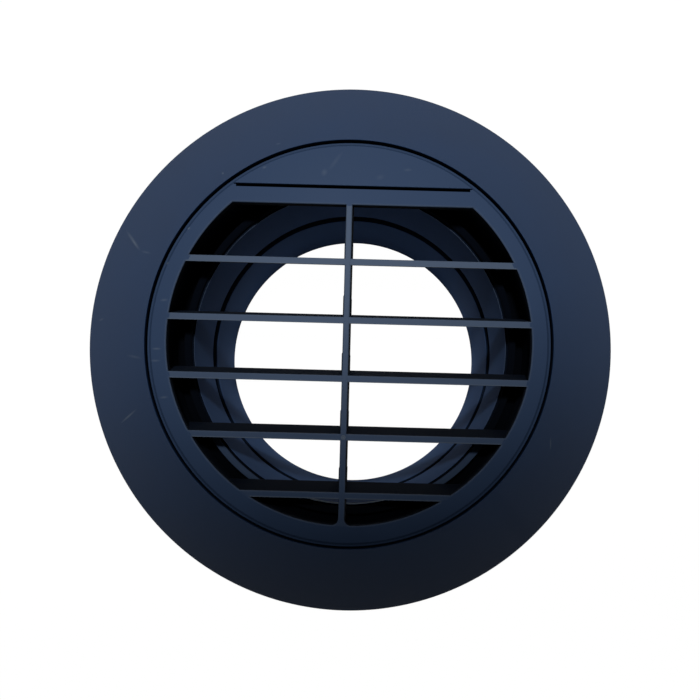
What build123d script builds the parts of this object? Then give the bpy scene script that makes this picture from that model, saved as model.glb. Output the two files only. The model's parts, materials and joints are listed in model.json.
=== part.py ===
from build123d import *
import math
import os

# Round heater air outlet vent, in millimetres: a flanged housing with a hose collar, and a
# louvre insert that snaps into the housing and turns about the vent axis.
# The vent axis is Z and the face looks up. The origin is the centre of the collar's open end.
# The insert's blank segment is at +Y, and the louvres send the air towards -Y.

# Housing: hose collar and the bore that the air comes through
collar_radius = 30.0  # outside, for a 60 mm hose
collar_length = 28.5  # from the panel to the open end
collar_lead_in = 0.6  # the end is chamfered so that the hose starts easily
collar_lead_length = 1.8
collar_wall = 1.85  # at the open end, where the bore is narrowest
bore_draft = 1.8  # degrees, the core is drawn towards the face
bore_groove_height = 17.6  # from the open end to the middle of the groove in the bore
bore_groove_width = 2.6
bore_groove_depth = 0.5
mouth_wall = 1.5  # lip where the bore meets the louvres
mouth_rabbet_width = 0.45  # thin step in the bore, just under the lip
mouth_rabbet_depth = 0.35

# Housing: conical flange and the drum that carries the insert
flange_radius = 50.0
flange_rise = 11.5  # from the panel to the flange's front edge
flange_rim = 1.2  # upright edge round the outside
wall = 1.8  # flange, drum and floor
seat_depth = 2.6  # recess that the insert's face disc lies in

# Louvre insert: face disc, skirt and snap bead
skirt_wall = 1.2
disc_overhang = 1.6  # of the face disc past the skirt
face_wall = 1.8  # blank segment
band_width = 0.75  # lowered band round the face
band_drop = 0.7
frame_drop = 0.4  # the louvre frame lies this much under the blank segment
step_line = 27.4  # Y of the step between the two
step_groove = 0.35  # width of the groove along the foot of the step
bead_height = 0.55
bead_width = 1.5
bead_land = 0.4
bead_lift = 0.7  # from the skirt's end to the bead

# Louvre insert: opening, slats, rib and the gussets behind the rib
opening_undercut = 0.6  # of the skirt's bore behind the opening's edge
opening_rise = 0.3  # the opening's arc is struck a little above the vent axis
opening_top = 24.3  # Y of its straight edge
slat_count = 5
slat_pitch = 10.15
slat_thickness = 1.2
slat_depth = 6.0
slat_angle = 10.5  # degrees, the back edge lies nearer the blank segment
rib_width = 1.1
rib_offset = -0.4
rib_depth = 4.4
rib_foot_radius = 1.2
gusset_width = 1.8
gusset_height = 4.4
gusset_setback = 2.4  # from the frame's face to the gusset's front
gusset_cut = 0.8  # chamfers at the gusset's top

# Clearances of the snap fit
rim_gap = 0.5  # between the face disc and the flange
skirt_clearance = 0.3  # between the skirt and the drum
bead_clearance = 0.3  # all round the bead in its groove
axial_play = 0.15  # under the face disc
floor_clearance = 0.4  # under the skirt
mouth_clearance = 0.5  # between the louvres and the lip
mouth_room = 2.1  # round the lip, inside the skirt

# Edges
edge_cut = 0.25  # chamfer of the edges that show
lip_cut = 0.5

# Heights along the vent axis
panel_z = collar_length
front_z = panel_z + flange_rise
seat_z = front_z - seat_depth
floor_z = panel_z + wall
disc_z = seat_z + axial_play
band_z = front_z - band_drop
frame_z = front_z - frame_drop
face_back_z = front_z - face_wall
slat_back_z = frame_z - slat_depth
mouth_z = slat_back_z - mouth_clearance
skirt_end_z = floor_z + floor_clearance


def bore_radius(z):
    """Radius of the tapered bore at a height above the open end."""
    return collar_radius - collar_wall + z * math.tan(math.radians(bore_draft))


# Radii that follow from the fits, from the bore outwards
lip_bore = bore_radius(mouth_z)
skirt_bore = lip_bore + mouth_wall + mouth_room
skirt_radius = skirt_bore + skirt_wall
drum_bore = skirt_radius + skirt_clearance
bead_radius = skirt_radius + bead_height
face_radius = skirt_radius + disc_overhang
seat_radius = face_radius + rim_gap
shoulder_radius = face_radius - band_width
opening_radius = skirt_bore - opening_undercut


def cut_corners(corners):
    """Outline points from (a, b, cut) corners, where a cut is the leg of a chamfer."""
    points = []
    for i, (a, b, cut) in enumerate(corners):
        corner = Vector(a, b)
        if not cut:
            points.append((a, b))
            continue
        for other in (corners[i - 1], corners[(i + 1) % len(corners)]):
            towards = (Vector(other[0], other[1]) - corner).normalized()
            edge = corner + towards * cut
            points.append((edge.X, edge.Y))
    return points


def turned(corners):
    """Solid of revolution from (radius, height, cut) corners."""
    outline = Polyline(*[(r, 0, z) for r, z in cut_corners(corners)], close=True)
    return revolve(make_face(outline.edges()), Axis.Z)


def flange_corners():
    """Panel face, conical flange and seat, from the collar's root to the drum's bore."""
    slope = (flange_rise - flange_rim) / (flange_radius - seat_radius)
    drop = wall * math.hypot(1, slope)
    under_radius = flange_radius - (drop - flange_rim) / slope
    shelf_radius = seat_radius + wall
    shelf_under_z = front_z - drop - (shelf_radius - seat_radius) * slope
    return [
        (collar_radius, panel_z, 0),
        (drum_bore + wall, panel_z, 0),
        (drum_bore + wall, seat_z - wall, 0),
        (shelf_radius, seat_z - wall, 0),
        (shelf_radius, shelf_under_z, 0),
        (under_radius, panel_z, 0),
        (flange_radius, panel_z, 0),
        (flange_radius, panel_z + flange_rim, edge_cut),
        (seat_radius, front_z, edge_cut),
        (seat_radius, seat_z, 0),
        (drum_bore, seat_z, edge_cut),
    ]


def snap_groove_corners():
    """Groove in the drum, the bead's own form with clearance all round."""
    bead_end = skirt_end_z + bead_lift
    ramp = (bead_width - bead_land) / 2
    return [
        (drum_bore, bead_end + bead_width + bead_clearance, 0),
        (bead_radius + bead_clearance, bead_end + bead_width - ramp + bead_clearance, 0),
        (bead_radius + bead_clearance, bead_end + ramp - bead_clearance, 0),
        (drum_bore, bead_end - bead_clearance, 0),
    ]


def mouth_corners():
    """Drum floor, chamfered lip and the rabbet under it."""
    rabbet_top = mouth_z - 2 * lip_cut
    rabbet_end = rabbet_top - mouth_rabbet_width
    rabbet_radius = bore_radius(rabbet_top) + mouth_rabbet_depth
    return [
        (drum_bore, floor_z, 0),
        (lip_bore + mouth_wall, floor_z, 0),
        (lip_bore + mouth_wall, mouth_z, lip_cut),
        (lip_bore, mouth_z, lip_cut),
        (bore_radius(rabbet_top), rabbet_top, 0),
        (rabbet_radius, rabbet_top, 0),
        (rabbet_radius, rabbet_end, 0),
        (bore_radius(rabbet_end), rabbet_end, 0),
    ]


def bore_corners():
    """Groove in the bore, and the collar's open end with its lead-in."""
    top = bore_groove_height + bore_groove_width / 2
    end = bore_groove_height - bore_groove_width / 2
    groove_radius = bore_radius(bore_groove_height) + bore_groove_depth
    return [
        (bore_radius(top), top, 0),
        (groove_radius, top - bore_groove_depth, 0),
        (groove_radius, end + bore_groove_depth, 0),
        (bore_radius(end), end, 0),
        (bore_radius(0), 0, 0),
        (collar_radius - collar_lead_in, 0, 0),
        (collar_radius, collar_lead_length, 0),
    ]


def housing():
    """One moulding: flange, drum, floor, lip and hose collar."""
    return turned(flange_corners() + snap_groove_corners() + mouth_corners() + bore_corners())


def insert_blank():
    """The insert before it is hollowed: face disc, skirt and snap bead."""
    bead_end = skirt_end_z + bead_lift
    ramp = (bead_width - bead_land) / 2
    return turned([
        (0, skirt_end_z, 0),
        (skirt_radius, skirt_end_z, 0),
        (skirt_radius, bead_end, 0),
        (bead_radius, bead_end + ramp, 0),
        (bead_radius, bead_end + bead_width - ramp, 0),
        (skirt_radius, bead_end + bead_width, 0),
        (skirt_radius, disc_z, 0),
        (face_radius, disc_z, 0),
        (face_radius, band_z, edge_cut),
        (shoulder_radius, band_z, 0),
        (shoulder_radius, front_z, 0),
        (0, front_z, 0),
    ])


def below(y):
    """Flat region under a height on the face, wider than the insert."""
    reach = 2 * flange_radius
    return Pos(0, y - reach) * Rectangle(2 * reach, 2 * reach)


def opening_outline():
    """Round opening with a straight top edge, parted by the rib, with rounded rib feet."""
    outline = Pos(0, opening_rise) * Circle(opening_radius) & below(opening_top)
    rib = Pos(rib_offset, 0) * Rectangle(rib_width, 3 * opening_radius)
    halves = outline - rib
    feet = halves.vertices().filter_by(lambda v: abs(v.X - rib_offset) < rib_width and v.Y < 0)
    return fillet(feet, rib_foot_radius)


def slat_lines():
    """Y of each slat's front edge, stepped down from the opening's straight edge."""
    return [opening_top - (i + 1) * slat_pitch for i in range(slat_count)]


def across(corners, width, x):
    """Solid from (y, z, cut) corners, as wide as said and centred on x."""
    outline = Polyline(*[(x - width / 2, y, z) for y, z in cut_corners(corners)], close=True)
    return extrude(make_face(outline.edges()), width, dir=(1, 0, 0))


def slat(y):
    """One slat, flush with the frame and leaning towards the blank segment at its back."""
    half = slat_thickness / 2
    lean = (frame_z - slat_back_z) * math.tan(math.radians(slat_angle))
    return across([
        (y - half, frame_z, edge_cut),
        (y + half, frame_z, edge_cut),
        (y + half + lean, slat_back_z, 0),
        (y - half + lean, slat_back_z, 0),
    ], 2 * skirt_radius, 0)


def gusset(y):
    """Thickened foot of the rib, standing on one slat behind the face."""
    gusset_z = frame_z - gusset_setback
    lean_per_mm = math.tan(math.radians(slat_angle))
    top = y + slat_thickness / 2 + gusset_height
    return across([
        (y + gusset_setback * lean_per_mm, gusset_z, 0),
        (top, gusset_z, gusset_cut),
        (top, slat_back_z, gusset_cut),
        (y + (frame_z - slat_back_z) * lean_per_mm, slat_back_z, 0),
    ], gusset_width, rib_offset)


def louvres():
    """Slats, rib and gussets, trimmed to run into the skirt."""
    rib_top = opening_top + face_wall
    rib_bottom = opening_rise - opening_radius
    rib = Pos(rib_offset, (rib_top + rib_bottom) / 2, frame_z - edge_cut) * Box(
        rib_width, rib_top - rib_bottom, rib_depth, align=(Align.CENTER, Align.CENTER, Align.MAX)
    )
    pieces = rib
    for y in slat_lines():
        pieces = pieces + slat(y) + gusset(y)
    trim = Pos(0, 0, skirt_end_z) * Cylinder(
        skirt_bore + skirt_wall / 2, front_z - skirt_end_z, align=(Align.CENTER, Align.CENTER, Align.MIN)
    )
    return pieces & trim


def opening_edges(body):
    """Front edges of the opening, without the step line and the face's outer edge."""
    front = body.edges().filter_by_position(Axis.Z, frame_z, frame_z)
    below_step = front.filter_by(lambda e: (e @ 0.5).Y < step_line - step_groove - edge_cut)
    return below_step.filter_by(lambda e: math.hypot((e @ 0.5).X, (e @ 0.5).Y) < shoulder_radius - edge_cut)


def louvre_insert():
    """One moulding: face disc, skirt, snap bead, opening and louvres."""
    body = insert_blank()
    body = body - Pos(0, 0, skirt_end_z) * Cylinder(
        skirt_bore, face_back_z - skirt_end_z, align=(Align.CENTER, Align.CENTER, Align.MIN)
    )
    lowered = Circle(shoulder_radius) & below(step_line)
    body = body - extrude(Pos(0, 0, frame_z) * lowered, front_z - frame_z)
    groove = lowered - below(step_line - step_groove)
    body = body - extrude(Pos(0, 0, band_z) * groove, front_z - band_z)
    body = body - extrude(Pos(0, 0, skirt_end_z) * opening_outline(), front_z - skirt_end_z)
    return chamfer(opening_edges(body), edge_cut) + louvres()


os.makedirs("parts", exist_ok=True)
export_step(housing(), "parts/housing.step")
export_step(louvre_insert(), "parts/louvre_insert.step")
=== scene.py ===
import json
import math

import bmesh
import bpy
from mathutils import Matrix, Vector


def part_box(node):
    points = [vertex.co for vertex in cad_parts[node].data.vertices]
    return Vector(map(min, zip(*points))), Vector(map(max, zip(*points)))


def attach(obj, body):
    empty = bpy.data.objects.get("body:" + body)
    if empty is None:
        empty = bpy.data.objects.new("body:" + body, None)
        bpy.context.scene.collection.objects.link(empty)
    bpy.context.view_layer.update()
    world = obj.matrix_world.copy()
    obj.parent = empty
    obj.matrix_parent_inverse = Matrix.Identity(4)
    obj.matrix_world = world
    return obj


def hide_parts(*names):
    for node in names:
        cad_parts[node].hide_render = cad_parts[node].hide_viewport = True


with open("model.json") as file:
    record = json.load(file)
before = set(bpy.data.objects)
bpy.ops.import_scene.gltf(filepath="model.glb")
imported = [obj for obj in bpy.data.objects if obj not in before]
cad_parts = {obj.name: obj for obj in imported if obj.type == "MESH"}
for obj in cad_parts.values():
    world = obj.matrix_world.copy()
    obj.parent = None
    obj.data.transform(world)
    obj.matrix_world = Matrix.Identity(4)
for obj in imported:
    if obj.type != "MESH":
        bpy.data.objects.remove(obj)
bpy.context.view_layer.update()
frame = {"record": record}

# Round heater air outlet vent: a flanged housing and a louvre insert that turns in it.
# Pieces are modelled in millimetres about the vent axis, and brought to metres when they are done.
MM = 0.001
TURN_STEPS = 256  # round every turned form
ROUND_STEPS = 4  # round every rounded edge
TOUCH = 0.001  # mm, closer than this is the same place
SMOOTH_ANGLE = math.radians(32)  # edges that turn less than this are shaded smooth

mounts = {mount["name"]: mount for mount in frame["record"]["mounts"]}
flange_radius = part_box("housing")[1][0] / MM
collar_radius = mounts["hose_collar"]["dims"]["r_mm"]
panel_z = mounts["panel_face"]["pos_m"][2] / MM
front_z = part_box("louvre_insert")[1][2] / MM
skirt_end_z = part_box("louvre_insert")[0][2] / MM
face_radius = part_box("louvre_insert")[1][0] / MM

# Housing
collar_wall = 1.85
collar_lead_in = 0.6
collar_lead_length = 1.8
bore_draft = math.radians(1.8)
bore_groove_height = 17.6
bore_groove_width = 3.0
bore_groove_depth = 0.7
mouth_z = 33.1
mouth_wall = 1.75
mouth_lip = 0.4  # rounding of the lip
mouth_ledge_width = 0.35  # ledge between the bore and the lip
mouth_ledge_depth = 0.9
flange_rim = 1.2
wall = 1.8
seat_depth = 2.6
rim_gap = 0.3
skirt_clearance = 0.3
bead_clearance = 0.3
seat_z = front_z - seat_depth
floor_z = panel_z + wall
seat_radius = face_radius + rim_gap
ledge_z = mouth_z - mouth_ledge_depth
bore_groove_low = bore_groove_height - bore_groove_width / 2
bore_groove_high = bore_groove_height + bore_groove_width / 2

# Louvre insert
disc_overhang = 1.6
disc_clearance = 0.15  # under the face disc, above the seat
skirt_wall = 1.2
face_thickness = 1.8
frame_drop = 0.4  # from the blank segment down to the frame of the grille
band_drop = 0.7  # from the blank segment down to the band round the face
band_width = 0.75
shoulder_slope = 0.4  # width of the sloping wall from the band up to the frame
step_line = 27.8
step_groove = 0.45  # width of the groove along the foot of the step
step_groove_depth = 0.7
step_groove_end = 0.4  # from the groove's ends to the edge of the face
segment_inset = 0.03  # the blank segment stands this little inside the shoulder
segment_foot = 0.3  # depth to which it reaches into the face
bead_lift = 0.7
bead_height = 0.55
bead_width = 1.5
bead_land = 0.4
opening_undercut = 0.6
opening_rise = 0.3
opening_top = 24.58
slat_count = 5
slat_start = 10.04  # from the opening's straight edge to the first slat
slat_pitch = 10.29
slat_thickness = 1.15
slat_depth = 6.0
slat_angle = math.radians(12.4)
slat_sink = 0.02  # the slats' fronts lie this little under the frame
rib_width = 1.1
rib_taper = 0.2  # wider by this on each side at its back
rib_offset = -0.58
rib_depth = 4.4
rib_foot = 1.2
gate_mark_radius = 0.42  # stub of the gate, where the rib crosses a slat
gate_mark_ring = gate_mark_radius / 3  # width of its raised ring
gate_mark_slope = gate_mark_radius / 6  # width of the slope down to its sunk middle
gate_mark_height = 0.12
gate_mark_steps = 24  # round it
gate_mark_slat = 3  # counted from 0 at the top
gusset_width = 1.5
gusset_height = 4.4
gusset_setback = 2.4
skirt_radius = face_radius - disc_overhang
skirt_bore = skirt_radius - skirt_wall
drum_bore = skirt_radius + skirt_clearance
bead_radius = skirt_radius + bead_height
bead_end = skirt_end_z + bead_lift
bead_ramp = (bead_width - bead_land) / 2
shoulder_radius = face_radius - band_width
opening_radius = skirt_bore - opening_undercut
disc_z = seat_z + disc_clearance
band_z = front_z - band_drop
frame_z = front_z - frame_drop
face_back_z = front_z - face_thickness

# Scratches and scuffs from handling: x, y, turn in degrees, length, width, strength
HOUSING_MARKS = [
    (-40.7, 18.9, -48, 7.0, 0.80, 0.30),
    (-40.3, 18.4, -49, 5.0, 0.70, 0.42),
    (-37.1, 16.0, -18, 2.9, 0.60, 0.20),
    (-40.0, -13.7, 33, 5.5, 0.50, 0.45),
    (-38.2, -3.0, -11, 4.1, 0.60, 0.20),
    (36.7, -16.6, -82, 2.8, 0.40, 0.35),
    (-46.9, 4.3, 15, 1.7, 0.60, 0.22),
    (-23.2, 29.9, -61, 0.7, 0.50, 0.45),
    (-13.5, 35.4, 6, 1.1, 0.50, 0.25),
]
INSERT_MARKS = [
    (-33.8, -1.6, 2, 1.9, 0.50, 0.25),
    (-34.0, -3.7, 2, 2.2, 0.50, 0.20),
    (-32.7, 7.0, 8, 1.7, 0.55, 0.20),
    (-32.3, -10.1, 8, 1.7, 0.55, 0.22),
    (-28.7, 19.7, 35, 0.7, 0.50, 0.45),
    (-32.3, 13.5, 40, 0.7, 0.50, 0.40),
    (-5.1, 30.0, 65, 1.6, 1.20, 0.16),
    (-3.2, 32.0, 55, 4.6, 0.90, 0.09),
    (4.7, 29.4, 20, 1.8, 1.20, 0.08),
    (9.5, 30.8, 2, 1.8, 0.60, 0.13),
    (-15.6, 30.6, 23, 0.9, 0.50, 0.28),
]
gate_spot_size = 1.0  # pale spot on the gate's stub
gate_spot_strength = 0.6

# Rounded edges
slat_edge = 0.1
fine_edge = 0.12
face_edge = 0.22
soft_edge = 0.4

# Surface of the moulded ABS
abs_ior = 1.5
abs_sheen = 0.12
abs_roughness = 0.5
sheen_colour = "#A9C0EA"
# grey of wear and scratches, also used for painted highlights
wear_and_highlight_colour = "#6A747D"
cloud_size = 9.0  # slight unevenness of the moulded faces
cloud_detail = 3.0
cloud_tone = 0.1
cloud_roughness = 0.04
grain_size = 0.5  # drawn coarser than real grain of about 0.1 mm, so that it shows
grain_detail = 2.0
grain_strength = 0.15
grain_height = 0.03
NOOK_RAYS = 8  # for each reading of a nook or an edge
nook_reach = 4.0  # walls nearer than this make a nook, which gets painted shade
nook_closed = 0.15  # share of rays that leave a nook in full painted shade
nook_open = 0.65  # share of rays that leave an open place
# tone of the painted shade in the closest nooks
nook_shade_tone = 0.12
edge_reach = 0.3  # width of the wear and painted highlight along an edge
flat_depth = 1.0  # share of rays that stay inside the plastic behind a flat face
edge_depth = 0.5  # the same behind an edge
# share of grey for wear with a painted highlight on an edge
edge_wear_and_highlight = 0.5

# Zones of the surface: places on it, by radius, Y and height
START = -1.0  # below every radius and height on the part
skin = 0.02  # a zone takes in its own wall by this much
drum_lap = 0.5  # the drum's zone starts above the panel by this, and ends above the seat by this
ledge_lap = 0.05  # zones that end at the ledge pass it by this
groove_edge = 0.07  # plain edge of the bore's groove
groove_back = 0.1  # plain skin of the collar's outside
bore_rim_width = 0.2  # painted highlight on the rim at the bore's upper end
bore_sill_width = 1.5  # painted light on a sill under the lowest slat
back_margin = 0.1  # painted shade on the insert's backs ends this far inside the shoulder
wear_and_highlight_margin = 0.5  # worn edges of the insert, with their painted highlight, end this far inside the shoulder
front_depth = slat_sink + 1.5 * slat_edge  # fronts of the slats keep the face's tone to this depth
wall_low = -20.0  # Y where an inner wall has its low painted tone
wall_high = -5.0  # Y where it has its high painted tone
highlight_low = -25.0  # Y where a painted highlight has its low share
highlight_high = 15.0  # Y where it has its high share

# Floor
floor_size = 4.0  # m
floor_white_share = 0.97  # the rest of what is seen is lit paper
floor_white_strength = 1.03


def bore_radius(z):
    """Radius of the tapered bore at a height above the collar's open end."""
    return collar_radius - collar_wall + z * math.tan(bore_draft)


def edit(name):
    """Name the primitive just added and open it for editing, with all of it selected."""
    piece = bpy.context.active_object
    piece.name = name
    bpy.ops.object.mode_set(mode="EDIT")
    bpy.ops.mesh.select_all(action="SELECT")
    return piece


def close_edit():
    """Leave edit mode with nothing selected."""
    bpy.ops.object.mode_set(mode="OBJECT")
    bpy.ops.object.select_all(action="DESELECT")


def middle(item):
    """Middle of a vertex, edge or face."""
    if isinstance(item, bmesh.types.BMVert):
        return item.co
    return sum((v.co for v in item.verts), Vector()) / len(item.verts)


def pick(piece, kind, test):
    """Select only the VERT, EDGE or FACE items of the piece in edit mode that pass a test."""
    bpy.ops.mesh.select_mode(type=kind)
    bpy.ops.mesh.select_all(action="DESELECT")
    shape = bmesh.from_edit_mesh(piece.data)
    items = {"VERT": shape.verts, "EDGE": shape.edges, "FACE": shape.faces}[kind]
    for item in items:
        if test(item):
            item.select_set(True)
    shape.select_flush_mode()
    bmesh.update_edit_mesh(piece.data)


def move(x=0.0, y=0.0, z=0.0):
    """Move what is selected."""
    bpy.ops.transform.translate(value=(x, y, z))


def draw_section(name, corners):
    """Closed half section on the XZ plane from (radius, height, rounding) corners."""
    bpy.ops.mesh.primitive_plane_add(size=1)
    piece = edit(name)
    bpy.ops.mesh.merge(type="CENTER")
    move(corners[0][0], 0, corners[0][1])
    for (r0, z0, _), (r1, z1, _) in zip(corners, corners[1:]):
        bpy.ops.mesh.extrude_vertices_move(TRANSFORM_OT_translate={"value": (r1 - r0, 0, z1 - z0)})
    ends = [Vector((r, 0, z)) for r, z, _ in (corners[0], corners[-1])]
    pick(piece, "VERT", lambda v: min((v.co - end).length for end in ends) < TOUCH)
    bpy.ops.mesh.edge_face_add()
    bpy.ops.mesh.select_all(action="SELECT")
    bpy.ops.mesh.edge_face_add()
    for rounding in sorted({corner[2] for corner in corners if corner[2]}):
        spots = [Vector((r, 0, z)) for r, z, amount in corners if amount == rounding]
        pick(piece, "VERT", lambda v: min((v.co - spot).length for spot in spots) < TOUCH)
        bpy.ops.mesh.bevel(affect="VERTICES", offset=rounding, segments=ROUND_STEPS)
    bpy.ops.mesh.select_all(action="SELECT")
    bpy.ops.mesh.delete(type="ONLY_FACE")
    return piece


def turn_section():
    """Spin the section in edit mode once round the vent axis."""
    bpy.ops.mesh.select_all(action="SELECT")
    bpy.ops.mesh.spin(steps=TURN_STEPS, angle=math.tau, center=(0, 0, 0), axis=(0, 0, 1))
    bpy.ops.mesh.select_all(action="SELECT")
    bpy.ops.mesh.remove_doubles(threshold=TOUCH)
    bpy.ops.mesh.normals_make_consistent(inside=False)


def combine(piece, tool, operation):
    """Join, trim or cut a piece with another, which is used up."""
    modifier = piece.modifiers.new(operation.lower(), "BOOLEAN")
    modifier.operation = operation
    modifier.object = tool
    modifier.solver = "EXACT"
    modifier.use_self = True
    bpy.context.view_layer.objects.active = piece
    bpy.ops.object.modifier_apply(modifier=modifier.name)
    bpy.data.objects.remove(tool)


def join(pieces):
    """Put several pieces into the first one's mesh."""
    bpy.ops.object.select_all(action="DESELECT")
    for piece in pieces:
        piece.select_set(True)
    bpy.context.view_layer.objects.active = pieces[0]
    bpy.ops.object.join()
    return pieces[0]


def finish_piece(piece, body, node, material):
    """Bring a modelled piece to metres, shade it, and let it stand for its CAD node."""
    bpy.ops.object.select_all(action="DESELECT")
    piece.select_set(True)
    bpy.context.view_layer.objects.active = piece
    piece.scale = (MM, MM, MM)
    bpy.ops.object.transform_apply(location=True, rotation=True, scale=True)
    bpy.ops.object.shade_smooth_by_angle(angle=SMOOTH_ANGLE)
    normals = piece.modifiers.new("flat_faces_lead", "WEIGHTED_NORMAL")
    normals.keep_sharp = True
    bpy.ops.object.modifier_apply(modifier=normals.name)
    piece.data.materials.clear()
    piece.data.materials.append(material)
    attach(piece, body)
    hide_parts(node)


# Housing

def make_housing():
    """One turned moulding: flange, seat, drum, floor, lip and hose collar."""
    slope = (front_z - panel_z - flange_rim) / (flange_radius - seat_radius)
    drop = wall * math.hypot(1, slope)
    under_radius = flange_radius - (drop - flange_rim) / slope
    shelf_radius = seat_radius + wall
    lip_bore = bore_radius(mouth_z)
    groove_radius = bore_radius(bore_groove_height) + bore_groove_depth
    piece = draw_section("vent_housing", [
        (collar_radius, panel_z, fine_edge),
        (drum_bore + wall, panel_z, soft_edge),
        (drum_bore + wall, seat_z - wall, soft_edge),
        (shelf_radius, seat_z - wall, fine_edge),
        (shelf_radius, front_z - drop - wall * slope, soft_edge),
        (under_radius, panel_z, fine_edge),
        (flange_radius, panel_z, fine_edge),
        (flange_radius, panel_z + flange_rim, soft_edge),
        (seat_radius, front_z, fine_edge),
        (seat_radius, seat_z, 0),
        (drum_bore, seat_z, fine_edge),
        (drum_bore, bead_end + bead_width + bead_clearance, 0),
        (bead_radius + bead_clearance, bead_end + bead_width - bead_ramp + bead_clearance, 0),
        (bead_radius + bead_clearance, bead_end + bead_ramp - bead_clearance, 0),
        (drum_bore, bead_end - bead_clearance, 0),
        (drum_bore, floor_z, 0),
        (lip_bore + mouth_wall, floor_z, soft_edge),
        (lip_bore + mouth_wall, mouth_z, mouth_lip),
        (lip_bore + mouth_ledge_width, mouth_z, mouth_lip),
        (lip_bore + mouth_ledge_width, ledge_z, 0),
        (bore_radius(ledge_z), ledge_z, 0),
        (bore_radius(bore_groove_high), bore_groove_high, face_edge),
        (groove_radius, bore_groove_high - bore_groove_depth, face_edge),
        (groove_radius, bore_groove_low + bore_groove_depth, face_edge),
        (bore_radius(bore_groove_low), bore_groove_low, face_edge),
        (bore_radius(0), 0, soft_edge),
        (collar_radius - collar_lead_in, 0, fine_edge),
        (collar_radius, collar_lead_length, fine_edge),
    ])
    turn_section()
    close_edit()
    return piece


# Louvre insert

def make_rim():
    """Turned part of the insert: skirt, snap bead and face disc, open where the plate goes."""
    piece = draw_section("louvre_insert_moulding", [
        (skirt_bore, face_back_z, 0),
        (skirt_bore, skirt_end_z, fine_edge),
        (skirt_radius, skirt_end_z, fine_edge),
        (skirt_radius, bead_end, 0),
        (bead_radius, bead_end + bead_ramp, fine_edge),
        (bead_radius, bead_end + bead_width - bead_ramp, fine_edge),
        (skirt_radius, bead_end + bead_width, 0),
        (skirt_radius, disc_z, fine_edge),
        (face_radius, disc_z, fine_edge),
        (face_radius, band_z, fine_edge),
        (shoulder_radius + shoulder_slope, band_z, 0),
        (shoulder_radius, frame_z, 0),
    ])
    across = (Vector((skirt_bore, 0, face_back_z)) + Vector((shoulder_radius, 0, frame_z))) / 2
    pick(piece, "EDGE", lambda e: (middle(e) - across).length < TOUCH)
    bpy.ops.mesh.delete(type="EDGE")
    turn_section()
    close_edit()
    return piece


def make_half_opening(side):
    """Edge and wall of the opening on one side of the rib, -1 for left and 1 for right."""
    rib_edge = rib_offset + side * (rib_width / 2 - face_edge)
    top_edge = opening_top + face_edge
    bpy.ops.mesh.primitive_circle_add(
        vertices=TURN_STEPS, radius=opening_radius + face_edge, fill_type="NGON"
    )
    piece = edit("half_opening")
    move(0, opening_rise, frame_z)
    bpy.ops.mesh.bisect(plane_co=(0, top_edge, 0), plane_no=(0, 1, 0), clear_outer=True)
    bpy.ops.mesh.select_all(action="SELECT")
    bpy.ops.mesh.bisect(plane_co=(rib_edge, 0, 0), plane_no=(side, 0, 0), clear_inner=True)
    reach = 2 * rib_foot
    foot = Vector((rib_edge, opening_rise - opening_radius - face_edge, frame_z))
    pick(piece, "VERT", lambda v: TOUCH < abs(v.co.x - rib_edge) < reach and v.co.y < 0)
    bpy.ops.mesh.dissolve_verts()
    pick(piece, "VERT", lambda v: (v.co - foot).length < face_edge)
    bpy.ops.mesh.bevel(affect="VERTICES", offset=rib_foot + face_edge, segments=2 * ROUND_STEPS)
    pick(piece, "FACE", lambda f: True)
    for i in range(ROUND_STEPS):
        start = math.radians(90 * i / ROUND_STEPS)
        end = math.radians(90 * (i + 1) / ROUND_STEPS)
        bpy.ops.mesh.inset(thickness=face_edge * (math.sin(end) - math.sin(start)))
        move(0, 0, face_edge * (math.cos(end) - math.cos(start)))
    bpy.ops.mesh.extrude_region_move(
        TRANSFORM_OT_translate={"value": (0, 0, face_back_z - frame_z + face_edge)}
    )
    bpy.ops.mesh.delete(type="ONLY_FACE")
    close_edit()
    return piece


def fill_level(piece, z):
    """Close the flat region between the open edges at one height."""
    pick(piece, "EDGE", lambda e: e.is_boundary and abs(middle(e).z - z) < TOUCH)
    bpy.ops.mesh.fill(use_beauty=True)


def make_segment():
    """Blank segment of the face: a low raised plate above the step line, its foot inside the face."""
    bpy.ops.mesh.primitive_circle_add(
        vertices=TURN_STEPS, radius=shoulder_radius - segment_inset, fill_type="NGON"
    )
    piece = edit("blank_segment")
    bpy.ops.mesh.bisect(plane_co=(0, step_line, 0), plane_no=(0, 1, 0), clear_inner=True)
    corner_room = 4 * fine_edge  # no point this near the step line but its ends, for the bevel
    pick(piece, "VERT", lambda v: TOUCH < v.co.y - step_line < corner_room)
    bpy.ops.mesh.dissolve_verts()
    bpy.ops.mesh.select_all(action="SELECT")
    move(0, 0, frame_z - segment_foot)
    bpy.ops.mesh.extrude_region_move(
        TRANSFORM_OT_translate={"value": (0, 0, front_z - frame_z + segment_foot)}
    )
    bpy.ops.mesh.select_all(action="SELECT")
    bpy.ops.mesh.normals_make_consistent(inside=False)
    pick(piece, "EDGE", lambda e: min(v.co.z for v in e.verts) > front_z - TOUCH)
    bpy.ops.mesh.bevel(affect="EDGES", offset=fine_edge, segments=ROUND_STEPS // 2)
    close_edit()
    return piece


def make_step_groove():
    """Room of the narrow groove along the foot of the step."""
    half = math.sqrt(shoulder_radius ** 2 - step_line ** 2) - step_groove_end
    bpy.ops.mesh.primitive_cube_add(size=1)
    piece = edit("step_groove")
    bpy.ops.transform.resize(value=(2 * half, step_groove, 2 * step_groove_depth))
    move(0, step_line - step_groove / 2, frame_z)
    close_edit()
    return piece


def slat_lines():
    """Y of each slat's front edge, stepped down from the opening's straight edge."""
    return [opening_top - slat_start - i * slat_pitch for i in range(slat_count)]


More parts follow.
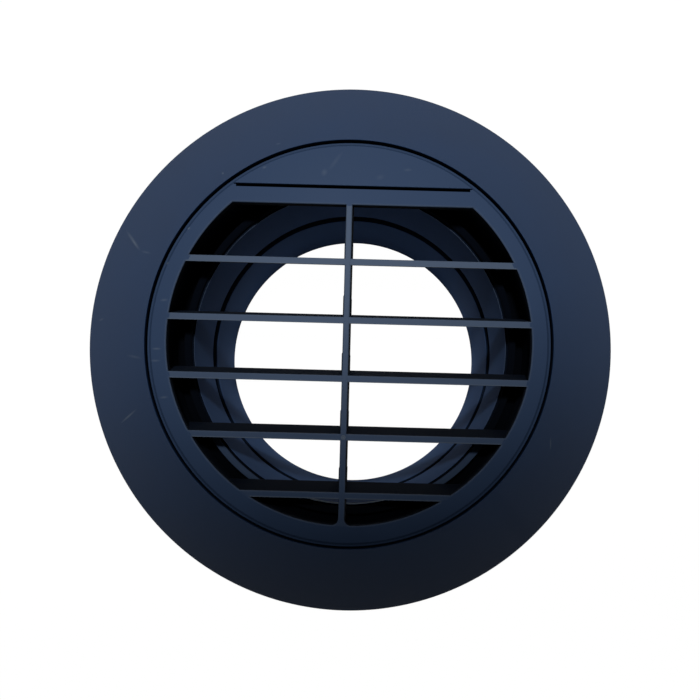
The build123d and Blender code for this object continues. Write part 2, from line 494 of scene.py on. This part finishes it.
def make_slat(y):
    """One slat with rounded front edges, its back leaning towards the blank segment."""
    front = frame_z - slat_sink
    bpy.ops.mesh.primitive_cube_add(size=1)
    piece = edit("slat")
    bpy.ops.transform.resize(value=(2 * skirt_radius, slat_thickness, slat_depth - slat_sink))
    move(0, y, front - (slat_depth - slat_sink) / 2)
    pick(piece, "VERT", lambda v: v.co.z < front - TOUCH)
    move(0, slat_depth * math.tan(slat_angle), 0)
    pick(piece, "EDGE", lambda e: abs(middle(e).z - front) < TOUCH and abs(middle(e).x) < TOUCH)
    bpy.ops.mesh.bevel(affect="EDGES", offset=slat_edge, segments=ROUND_STEPS)
    close_edit()
    return piece


def make_gusset(y):
    """Thickened foot of the rib behind the face, with a rounded top, standing on one slat."""
    front = frame_z - gusset_setback
    depth = slat_depth - gusset_setback
    top = y + slat_thickness / 2 + gusset_height
    bpy.ops.mesh.primitive_cube_add(size=1)
    piece = edit("gusset")
    bpy.ops.transform.resize(value=(gusset_width, top - y, depth))
    move(rib_offset, (top + y) / 2, front - depth / 2)
    pick(piece, "VERT", lambda v: v.co.y < top - TOUCH and v.co.z < front - TOUCH)
    move(0, slat_depth * math.tan(slat_angle), 0)
    pick(piece, "EDGE", lambda e: abs(middle(e).y - top) < TOUCH)
    bpy.ops.mesh.bevel(affect="EDGES", offset=soft_edge, segments=ROUND_STEPS)
    close_edit()
    return piece


def make_rib():
    """Deep part of the upright rib, behind the strip that the two openings leave."""
    top = opening_top + wall
    bottom = opening_rise - opening_radius
    bpy.ops.mesh.primitive_cube_add(size=1)
    piece = edit("rib")
    bpy.ops.transform.resize(value=(rib_width - 2 * slat_sink, top - bottom, rib_depth))
    move(rib_offset, (top + bottom) / 2, frame_z - face_edge - rib_depth / 2)
    for side in (-1, 1):
        pick(piece, "VERT", lambda v: v.co.z < frame_z - rib_depth and side * (v.co.x - rib_offset) > 0)
        move(side * rib_taper, 0, 0)
    close_edit()
    return piece


def make_gate_mark():
    """Trimmed stub that the gate left where the rib crosses a slat: a low ring with a sunk middle."""
    bpy.ops.mesh.primitive_circle_add(
        vertices=gate_mark_steps, radius=gate_mark_radius, fill_type="NGON"
    )
    piece = edit("gate_mark")
    move(rib_offset, slat_lines()[gate_mark_slat], frame_z - gate_mark_height)
    bpy.ops.mesh.extrude_region_move(TRANSFORM_OT_translate={"value": (0, 0, 2 * gate_mark_height)})
    bpy.ops.mesh.inset(thickness=gate_mark_ring)
    bpy.ops.mesh.inset(thickness=gate_mark_slope)
    move(0, 0, -gate_mark_height)
    bpy.ops.mesh.select_all(action="SELECT")
    bpy.ops.mesh.normals_make_consistent(inside=False)
    close_edit()
    return piece


def copy_down(piece, offset):
    """Copy of a piece with its own mesh, moved along Y."""
    bpy.ops.object.select_all(action="DESELECT")
    piece.select_set(True)
    bpy.context.view_layer.objects.active = piece
    bpy.ops.object.duplicate(linked=False)
    move(0, offset, 0)
    return bpy.context.active_object


def make_louvres():
    """Slats, rib and gussets, trimmed so that they end inside the skirt's wall."""
    first = slat_lines()[0]
    bar = join([make_slat(first), make_gusset(first)])
    bars = [bar] + [copy_down(bar, y - first) for y in slat_lines()[1:]]
    louvres = join(bars + [make_rib()])
    height = front_z - skirt_end_z
    bpy.ops.mesh.primitive_cylinder_add(
        vertices=TURN_STEPS, radius=skirt_bore + skirt_wall / 2, depth=2 * height,
        location=(0, 0, frame_z),
    )
    combine(louvres, bpy.context.active_object, "INTERSECT")
    return louvres


def make_insert():
    """One moulding: rim, plate with two half openings, blank segment and louvres."""
    piece = join([make_rim(), make_half_opening(-1), make_half_opening(1)])
    bpy.ops.object.mode_set(mode="EDIT")
    bpy.ops.mesh.select_all(action="SELECT")
    bpy.ops.mesh.remove_doubles(threshold=TOUCH)
    fill_level(piece, frame_z)
    fill_level(piece, face_back_z)
    bpy.ops.mesh.select_all(action="SELECT")
    bpy.ops.mesh.normals_make_consistent(inside=False)
    close_edit()
    combine(piece, make_segment(), "UNION")
    combine(piece, make_step_groove(), "DIFFERENCE")
    combine(piece, make_louvres(), "UNION")
    combine(piece, make_gate_mark(), "UNION")
    return piece


# Materials

def linear(code):
    """Linear colour from an sRGB hex value."""
    channels = [int(code[i:i + 2], 16) / 255 for i in (1, 3, 5)]
    parts = [c / 12.92 if c <= 0.04045 else ((c + 0.055) / 1.055) ** 2.4 for c in channels]
    return (*parts, 1.0)


def add(tree, kind, inputs=None, **settings):
    """Add one node with its settings; an input takes a value or another node's output."""
    node = tree.nodes.new(kind)
    for key, value in settings.items():
        setattr(node, key, value)
    for key, value in (inputs or {}).items():
        if isinstance(value, bpy.types.NodeSocket):
            tree.links.new(value, node.inputs[key])
        else:
            node.inputs[key].default_value = value
    return node


def zone(tree, readings, limits):
    """Mask of the part of a piece whose readings all lie between their limits in millimetres."""
    mask = None
    for key, (low, high) in limits.items():
        inside = add(
            tree, "ShaderNodeMath",
            {0: readings[key], 1: (low + high) / 2 * MM, 2: (high - low) / 2 * MM}, operation="COMPARE",
        ).outputs[0]
        if mask:
            inside = add(tree, "ShaderNodeMath", {0: mask, 1: inside}, operation="MULTIPLY").outputs[0]
        mask = inside
    return mask


def handling_marks(tree, place, marks):
    """Light spindle-shaped scratches and scuffs: (x, y, turn in degrees, length, width, strength)."""
    total = None
    for x, y, turn, length, width, strength in marks:
        spot = add(tree, "ShaderNodeMapping", {
            "Vector": place, "Location": (x * MM, y * MM, 0), "Rotation": (0, 0, math.radians(turn)),
            "Scale": (length / 2 * MM, width / 2 * MM, 1),
        }, vector_type="TEXTURE").outputs[0]
        away = add(tree, "ShaderNodeVectorMath", {0: spot}, operation="LENGTH").outputs["Value"]
        mark = add(tree, "ShaderNodeMapRange", {"Value": away, 3: strength, 4: 0.0}).outputs[0]
        if total:
            mark = add(tree, "ShaderNodeMath", {0: total, 1: mark}, operation="MAXIMUM").outputs[0]
        total = mark
    return total


def wear_and_highlight_share(tree, place, readings, worn_and_lit_edges, painted_highlights, marks):
    """Share of lighter grey: worn edges within their limits with a painted highlight, scratches, scuffs, and
    painted highlights on fronts and rims.
    """
    within = add(
        tree, "ShaderNodeAmbientOcclusion", {"Distance": edge_reach * MM}, samples=NOOK_RAYS, inside=True
    ).outputs["AO"]
    # edges worn, and lightened as a painted highlight too
    edge = add(tree, "ShaderNodeMapRange", {
        "Value": within, "From Min": flat_depth, "From Max": edge_depth, "To Min": 0.0, "To Max": edge_wear_and_highlight,
    }).outputs[0]
    reached = zone(tree, readings, worn_and_lit_edges)
    worn_and_lit = add(tree, "ShaderNodeMath", {0: edge, 1: reached}, operation="MULTIPLY").outputs[0]
    marked = handling_marks(tree, place, marks)
    worn_and_lit = add(tree, "ShaderNodeMath", {0: worn_and_lit, 1: marked}, operation="MAXIMUM").outputs[0]
    # painted highlights on fronts and rims, their share changing with Y
    for limits, low_share, high_share in painted_highlights:
        share = add(tree, "ShaderNodeMapRange", {
            "Value": readings["y"], "From Min": highlight_low * MM, "From Max": highlight_high * MM,
            "To Min": low_share, "To Max": high_share,
        }).outputs[0]
        front = zone(tree, readings, limits)
        front = add(tree, "ShaderNodeMath", {0: front, 1: share}, operation="MULTIPLY").outputs[0]
        worn_and_lit = add(tree, "ShaderNodeMath", {0: worn_and_lit, 1: front}, operation="MAXIMUM").outputs[0]
    return worn_and_lit


def cloud_and_painted_shade(tree, readings, cloud, painted_wall_light_and_shade):
    """Tone and roughness of the surface: clouded, with painted shade in nooks, and painted light and shade
    set by place on the inner walls.
    """
    # painted shade in nooks, darker where nearby walls block more rays
    around = add(
        tree, "ShaderNodeAmbientOcclusion", {"Distance": nook_reach * MM}, samples=NOOK_RAYS
    ).outputs["AO"]
    nook_shade = add(tree, "ShaderNodeMapRange", {
        "Value": around, "From Min": nook_closed, "From Max": nook_open, "To Min": nook_shade_tone, "To Max": 1.0,
    }).outputs[0]
    shade = add(tree, "ShaderNodeMapRange", {
        "Value": cloud, "To Min": 1 - cloud_tone, "To Max": 1 + cloud_tone,
    }).outputs[0]
    shade = add(tree, "ShaderNodeMath", {0: shade, 1: nook_shade}, operation="MULTIPLY").outputs[0]
    rough = add(tree, "ShaderNodeMapRange", {
        "Value": cloud, "To Min": abs_roughness - cloud_roughness, "To Max": abs_roughness + cloud_roughness,
    }).outputs[0]
    # painted light and shade on the inner walls, their tone changing with Y
    for limits, low_tone, high_tone, wall_roughness in painted_wall_light_and_shade:
        mask = zone(tree, readings, limits)
        painted_wall_tone = add(tree, "ShaderNodeMapRange", {
            "Value": readings["y"], "From Min": wall_low * MM, "From Max": wall_high * MM,
            "To Min": low_tone, "To Max": high_tone,
        }).outputs[0]
        kept = add(tree, "ShaderNodeMapRange", {"Value": mask, "To Min": 1.0, "To Max": painted_wall_tone}).outputs[0]
        shade = add(tree, "ShaderNodeMath", {0: shade, 1: kept}, operation="MULTIPLY").outputs[0]
        rough = add(tree, "ShaderNodeMix", {0: mask, 2: rough, 3: wall_roughness}).outputs[0]
    return shade, rough


def moulded_abs(name, colour, painted_wall_light_and_shade, worn_and_lit_edges, painted_highlights, marks):
    """Moulded ABS in a blue-black colour, dull with a soft sheen from its fine spark-eroded grain.

    Inner walls get painted light and shade, a tone of their own for the light that reaches them:
    (limits, tone low down, tone high up, roughness). Fronts and rims get a painted highlight in a lighter
    grey: (limits, share low down, share high up). Edges are worn, with a painted highlight, within given
    limits.
    """
    material = bpy.data.materials.new(name)
    material.use_nodes = True
    tree = material.node_tree
    shader = tree.nodes["Principled BSDF"]
    shader.inputs["IOR"].default_value = abs_ior
    shader.inputs["Specular IOR Level"].default_value = abs_sheen
    shader.inputs["Specular Tint"].default_value = linear(sheen_colour)
    place = add(tree, "ShaderNodeTexCoord").outputs["Object"]
    split = add(tree, "ShaderNodeSeparateXYZ", {0: place}).outputs
    flat = add(tree, "ShaderNodeMapping", {"Vector": place, "Scale": (1, 1, 0)}).outputs[0]
    radius = add(tree, "ShaderNodeVectorMath", {0: flat}, operation="LENGTH").outputs["Value"]
    readings = {"r": radius, "y": split["Y"], "z": split["Z"]}
    worn_and_lit = wear_and_highlight_share(tree, place, readings, worn_and_lit_edges, painted_highlights, marks)
    cloud = add(tree, "ShaderNodeTexNoise", {
        "Vector": place, "Scale": 1 / (cloud_size * MM), "Detail": cloud_detail,
    }).outputs["Fac"]
    shade, rough = cloud_and_painted_shade(tree, readings, cloud, painted_wall_light_and_shade)
    # base colour turned towards the grey of wear and painted highlights, then scaled by the cloud and the
    # painted shade
    tone = add(
        tree, "ShaderNodeMix", {0: worn_and_lit, 6: linear(colour), 7: linear(wear_and_highlight_colour)}, data_type="RGBA"
    ).outputs[2]
    tone = add(tree, "ShaderNodeVectorMath", {0: tone, "Scale": shade}, operation="SCALE").outputs[0]
    grain = add(tree, "ShaderNodeTexNoise", {
        "Vector": place, "Scale": 1 / (grain_size * MM), "Detail": grain_detail,
    }).outputs["Fac"]
    bump = add(tree, "ShaderNodeBump", {
        "Height": grain, "Strength": grain_strength, "Distance": grain_height * MM,
    }).outputs[0]
    tree.links.new(tone, shader.inputs["Base Color"])
    tree.links.new(rough, shader.inputs["Roughness"])
    tree.links.new(bump, shader.inputs["Normal"])
    return material


def moulded_abs_housing():
    """ABS of the housing: painted shade on the drum, ledge, groove and most of the lip; painted light on the
    bore, on the lip between the two lowest slats and on the sill under the lowest slat; a painted highlight
    on the lip, stronger low down, and on the bore's rim.
    """
    lip_start = bore_radius(mouth_z) + mouth_ledge_width + skin
    lip_end = bore_radius(mouth_z) + mouth_wall - mouth_lip / 2
    bore_end = bore_radius(ledge_z) + skin
    groove_start = bore_radius(bore_groove_low) + groove_edge
    lit_slat, lowest_slat = slat_lines()[-2:]
    drum = {"r": (lip_end, seat_radius - skin), "z": (panel_z + drum_lap, seat_z + drum_lap)}
    lip = {"r": (lip_start, lip_end), "z": (ledge_z, front_z)}
    upper_lip = {**lip, "y": (lit_slat, lip_end)}
    lit_lip = {**lip, "y": (lowest_slat, lit_slat)}
    lower_lip = {**lip, "y": (-lip_end, lowest_slat)}
    ledge = {"r": (bore_end, lip_start), "z": (ledge_z - ledge_lap, front_z)}
    groove = {"r": (groove_start, collar_radius - groove_back), "z": (bore_groove_low, bore_groove_high)}
    bore = {"r": (START, bore_end), "z": (START, front_z)}
    bore_rim = {**bore, "z": (ledge_z - bore_rim_width, ledge_z + ledge_lap)}
    bore_sill = {**bore, "y": (-lip_end, lowest_slat), "z": (ledge_z - bore_sill_width, ledge_z)}
    return moulded_abs(
        "moulded_abs_housing", "#243550",
        # painted shade on the drum, lip, ledge and groove; painted light on the lip between the two lowest
        # slats and on the bore
        painted_wall_light_and_shade=[
            (drum, 0.02, 0.02, 1.0),
            (upper_lip, 0.03, 0.03, 1.0),
            (lit_lip, 0.8, 0.8, 1.0),
            (lower_lip, 0.02, 0.02, 1.0),
            (ledge, 0.05, 0.1, 1.0),
            (groove, 0.05, 0.1, 1.0),
            (bore, 2.3, 2.1, 0.92),
        ],
        worn_and_lit_edges={"z": (START, collar_lead_length)},
        # painted highlight on the lip, stronger low down, and on the bore's rim; painted light on the sill
        # under the lowest slat
        painted_highlights=[(lip, 0.15, 0.0), (bore_rim, 0.0, 0.25), (bore_sill, 0.8, 0.8)],
        marks=HOUSING_MARKS,
    )


def moulded_abs_insert():
    """ABS of the louvre insert: painted shade on the slats' sides and backs behind the face, and a painted
    highlight on the grille's fronts, stronger high up.
    """
    behind_face = {"r": (START, shoulder_radius - back_margin), "z": (START, frame_z - front_depth)}
    worn_and_lit_edges = {
        "r": (START, shoulder_radius - wear_and_highlight_margin),
        "y": (-shoulder_radius, step_line - 2 * step_groove),
    }
    grille_fronts = {
        "r": (START, opening_radius - face_edge),
        "y": (-opening_radius, opening_top - face_edge),
        "z": (frame_z - 2 * face_edge, front_z),
    }
    gate_y = slat_lines()[gate_mark_slat]
    gate_spot = (rib_offset, gate_y, 0, gate_spot_size, gate_spot_size, gate_spot_strength)
    return moulded_abs(
        "moulded_abs_insert", "#27364E",
        # painted shade on the slats' sides and the backs behind the face
        painted_wall_light_and_shade=[(behind_face, 0.12, 0.12, 1.0)],
        worn_and_lit_edges=worn_and_lit_edges,
        # painted highlight on the grille's fronts, stronger high up
        painted_highlights=[(grille_fronts, 0.06, 0.26)],
        marks=INSERT_MARKS + [gate_spot],
    )


# Stage, light and camera

def make_floor():
    """White paper floor that the collar's end stands on: seen as white, with a trace of the shadow."""
    bpy.ops.mesh.primitive_plane_add(size=floor_size)
    floor = bpy.context.active_object
    floor.name = "floor"
    material = bpy.data.materials.new("white_paper_floor")
    material.use_nodes = True
    tree = material.node_tree
    tree.nodes.clear()
    path = add(tree, "ShaderNodeLightPath").outputs
    seen = path["Is Camera Ray"]
    for ray in ("Is Glossy Ray", "Is Transmission Ray"):
        seen = add(tree, "ShaderNodeMath", {0: seen, 1: path[ray]}, operation="MAXIMUM").outputs[0]
    share = add(tree, "ShaderNodeMath", {0: seen, 1: floor_white_share}, operation="MULTIPLY").outputs[0]
    paper = add(tree, "ShaderNodeBsdfDiffuse", {"Color": linear("#E7E7E7")}).outputs[0]
    white = add(
        tree, "ShaderNodeEmission", {"Color": linear("#FFFFFF"), "Strength": floor_white_strength}
    ).outputs[0]
    mix = add(tree, "ShaderNodeMixShader", {0: share, 1: paper, 2: white}).outputs[0]
    add(tree, "ShaderNodeOutputMaterial", {"Surface": mix})
    floor.data.materials.append(material)


def make_light():
    """One soft lamp in front and above, aimed past the blank segment so that its beam fades downwards."""
    place = Vector((-12, 120, 440))
    aim = Vector((-8, 96, 40))
    beam_stretch = 2.6  # the beam is this much wider than it is high
    bpy.ops.object.light_add(type="SPOT", location=place * MM)
    lamp = bpy.context.active_object
    lamp.name = "snooted_lamp"
    lamp.rotation_euler = (aim - place).to_track_quat("-Z", "Y").to_euler()
    lamp.scale = (beam_stretch, 1, 1)
    lamp.data.shadow_soft_size = 25 * MM
    lamp.data.spot_size = math.radians(35.5)
    lamp.data.spot_blend = 0.42
    lamp.data.energy = 7.0
    world = bpy.data.worlds.new("studio")
    bpy.context.scene.world = world
    world.use_nodes = True
    sky = world.node_tree.nodes["Background"].inputs
    sky["Color"].default_value = linear("#FFFFFF")
    sky["Strength"].default_value = 0.06


def make_camera():
    """Straight view of the face from close by, off the vent axis, turned by the photo's tilt."""
    eye = Vector((2.98, -11.32, 150.3)) * MM
    roll = math.radians(1.5)
    bpy.ops.object.camera_add(location=eye, rotation=(0, 0, roll))
    camera = bpy.context.active_object
    camera.data.sensor_width = 36
    camera.data.lens = 32.4
    camera.data.shift_x = -0.0204
    camera.data.shift_y = 0.0850
    camera.data.clip_start = MM
    bpy.context.scene.camera = camera


bpy.ops.object.select_all(action="DESELECT")
finish_piece(make_housing(), "housing", "housing", moulded_abs_housing())
finish_piece(make_insert(), "insert", "louvre_insert", moulded_abs_insert())
make_floor()
make_light()
make_camera()
bpy.context.scene.view_settings.view_transform = "Standard"
